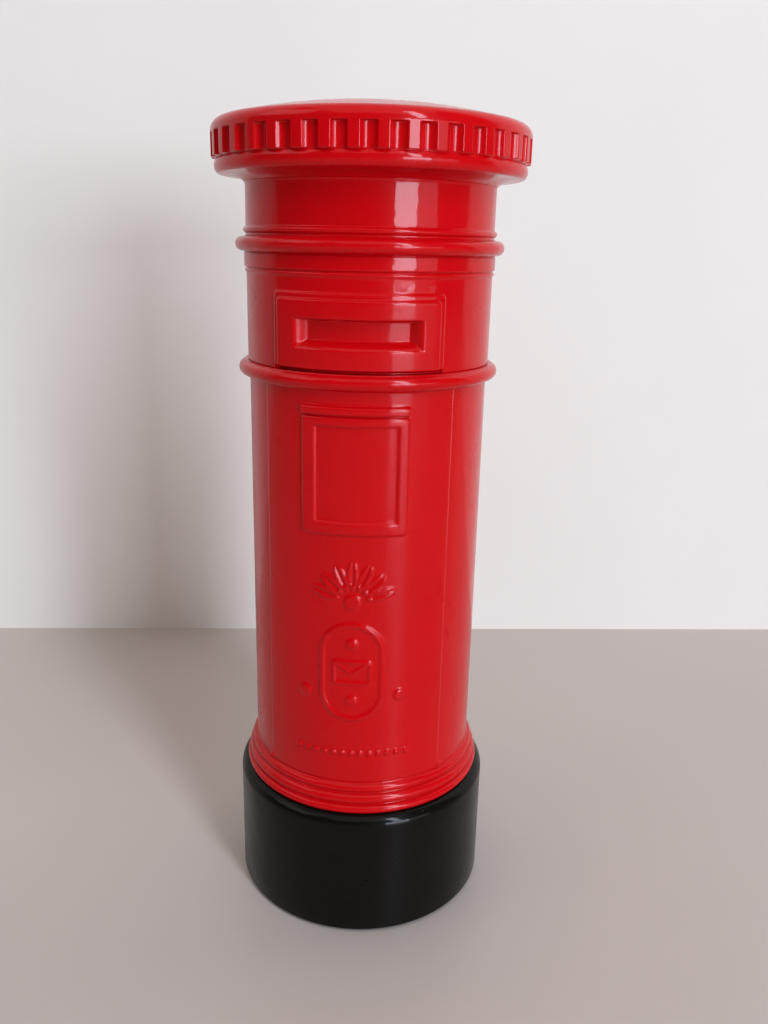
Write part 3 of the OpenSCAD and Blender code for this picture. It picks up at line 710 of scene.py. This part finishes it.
# ---------------------------------------------------------------------------------------------
# Lock: a turned brass sleeve with a flange, held in the trap by a brass nut, and the plug that
# turns in it.
# ---------------------------------------------------------------------------------------------
brass = metal("lock_brass", (0.80, 0.58, 0.27), (0.55, 0.36, 0.15), 0.2, 0.12)
dress(brass, "lock_sleeve", "lock_nut", "lock_plug")

# ---------------------------------------------------------------------------------------------
# Felt: a ring of dark green baize cut with a knife and glued under the foot, so its edges are
# soft and its face is a little uneven.
# ---------------------------------------------------------------------------------------------
felt_out, _, felt_high = reach("felt_ring")
felt_in = cavity_r + 0.3
felt_low = 0.02                         # a hair above the shelf
felt_turns = round_the_axis(180)
soft = 0.15
felt_outline = np.concatenate([
    arc(felt_out - soft, felt_low + soft, soft, -90, 0, 3),
    arc(felt_out - soft, felt_high - soft, soft, 0, 90, 3),
    arc(felt_in + soft, felt_high - soft, soft, 90, 180, 3),
    arc(felt_in + soft, felt_low + soft, soft, 180, 270, 3),
    [[felt_in + 0.7, felt_low]]])
felt_grid = turned(felt_outline, felt_turns)
ripple = 1 - 0.0012 * (1 + np.sin(9 * felt_turns) * np.cos(23 * felt_turns + 1))
felt_grid[..., :2] *= ripple[None, :, None]
felt_pad = make_piece("felt_pad", felt_grid.reshape(-1, 3),
                      weave(*felt_grid.shape[:2], True).reshape(-1, 4).tolist())
baize = bpy.data.materials.new("felt")
baize.use_nodes = True
cloth = baize.node_tree.nodes["Principled BSDF"]
cloth.inputs["Roughness"].default_value = 0.95
cloth.inputs["Specular IOR Level"].default_value = 0.15
cloth.inputs["Sheen Weight"].default_value = 0.5
cloth.inputs["Sheen Roughness"].default_value = 0.6
fibre = maths(baize, "ADD", noise(baize, 2600, 3),
              maths(baize, "MULTIPLY", noise(baize, 700, 2), 0.6))
plug(baize, cloth.inputs["Base Color"], mix(baize, span(baize, fibre, 0.6, 1.05, 0, 1),
                                            (0.008, 0.030, 0.014), (0.030, 0.085, 0.045)))
plug(baize, cloth.inputs["Normal"], raised(baize, fibre, 0.8, 0.0004))
felt_pad.data.materials.append(baize)
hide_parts("felt_ring")
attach(felt_pad, "casing")

# ---------------------------------------------------------------------------------------------
# Floor, wall and light: a pale shelf board in front of a paler wall. A tall window stands right
# of the camera, bright at its foot and in the sky above, with a curtain beside it. The ceiling
# and the far side of the room send back a soft light.
# ---------------------------------------------------------------------------------------------
def board(name, colour, roughness, corners):
    """A flat board with a faint mottle, between corners in millimetres. It can be seen only from
    the side where its corners go round anticlockwise, so the box's back is open to view."""
    piece = make_piece(name, np.array(corners, float), [[0, 1, 2, 3]])
    m = bpy.data.materials.new(name)
    m.use_nodes = True
    n, link = m.node_tree.nodes, m.node_tree.links
    bsdf = n["Principled BSDF"]
    one_sided = n.new("ShaderNodeMixShader")
    link.new(n.new("ShaderNodeNewGeometry").outputs["Backfacing"], one_sided.inputs[0])
    link.new(bsdf.outputs[0], one_sided.inputs[1])
    link.new(n.new("ShaderNodeBsdfTransparent").outputs[0], one_sided.inputs[2])
    link.new(one_sided.outputs[0], n["Material Output"].inputs["Surface"])
    bsdf.inputs["Roughness"].default_value = roughness
    darker = tuple(0.96 * c for c in colour)
    mottle = span(m, noise(m, 9, 4), 0.3, 0.7, 0, 1)
    plug(m, bsdf.inputs["Base Color"], mix(m, mottle, colour, darker))
    piece.data.materials.append(m)


def soft_light(name, turn, away, height, width, tall, radiance, colour, tilt=0.0):
    """An area light that faces the box's axis from an angle round it, tilted down by tilt degrees.
    Its power is its area times pi times the radiance wanted."""
    lamp = bpy.data.lights.new(name, "AREA")
    lamp.shape = "RECTANGLE"
    lamp.size, lamp.size_y = width, tall
    lamp.energy = radiance * width * tall * math.pi
    lamp.color = colour
    piece = bpy.data.objects.new(name, lamp)
    bpy.context.scene.collection.objects.link(piece)
    turn = math.radians(turn)
    piece.location = away * math.sin(turn), -away * math.cos(turn), height
    facing = Vector((math.sin(turn), -math.cos(turn), math.tan(math.radians(tilt))))
    piece.rotation_euler = facing.to_track_quat("Z", "Y").to_euler()


far = 2500                              # of the boards' ends to each side
wall_away = 126                         # behind the box's axis
wall_slant = far * math.tan(math.radians(7.1))
left_foot = [-far, wall_away - wall_slant, 0]
right_foot = [far, wall_away + wall_slant, 0]
board("shelf", (0.54, 0.468, 0.420), 0.35,
      [[-far, -2000, 0], [far, -2000, 0], right_foot, left_foot])
board("wall", (0.84, 0.783, 0.715), 0.8,
      [left_foot, right_foot, [*right_foot[:2], 1500], [*left_foot[:2], 1500]])
# Name, turn from the front, distance, height, width, length, radiance, colour, tilt.
soft_light("window_foot", 36.5, 2.4, 0.33, 0.85, 0.62, 16.0, (0.86, 0.94, 1.1))
soft_light("window_top", 38, 1.3, 1.05, 0.20, 1.15, 17.5, (0.82, 0.92, 1.08), 36)
soft_light("curtain", 57, 2.4, 0.33, 0.80, 0.62, 1.8, (0.95, 0.92, 1.0))
soft_light("overhead", 10, 0.7, 1.5, 1.6, 1.6, 0.75, (1.0, 0.97, 0.94), 65)
soft_light("high_left", -65, 1.6, 1.5, 1.3, 1.1, 1.5, (1.0, 0.97, 0.95), 43)

world = bpy.data.worlds.new("room")
world.use_nodes = True
world.node_tree.nodes["Background"].inputs["Color"].default_value = (0.95, 0.97, 1.0, 1)
world.node_tree.nodes["Background"].inputs["Strength"].default_value = 0.07
bpy.context.scene.world = world
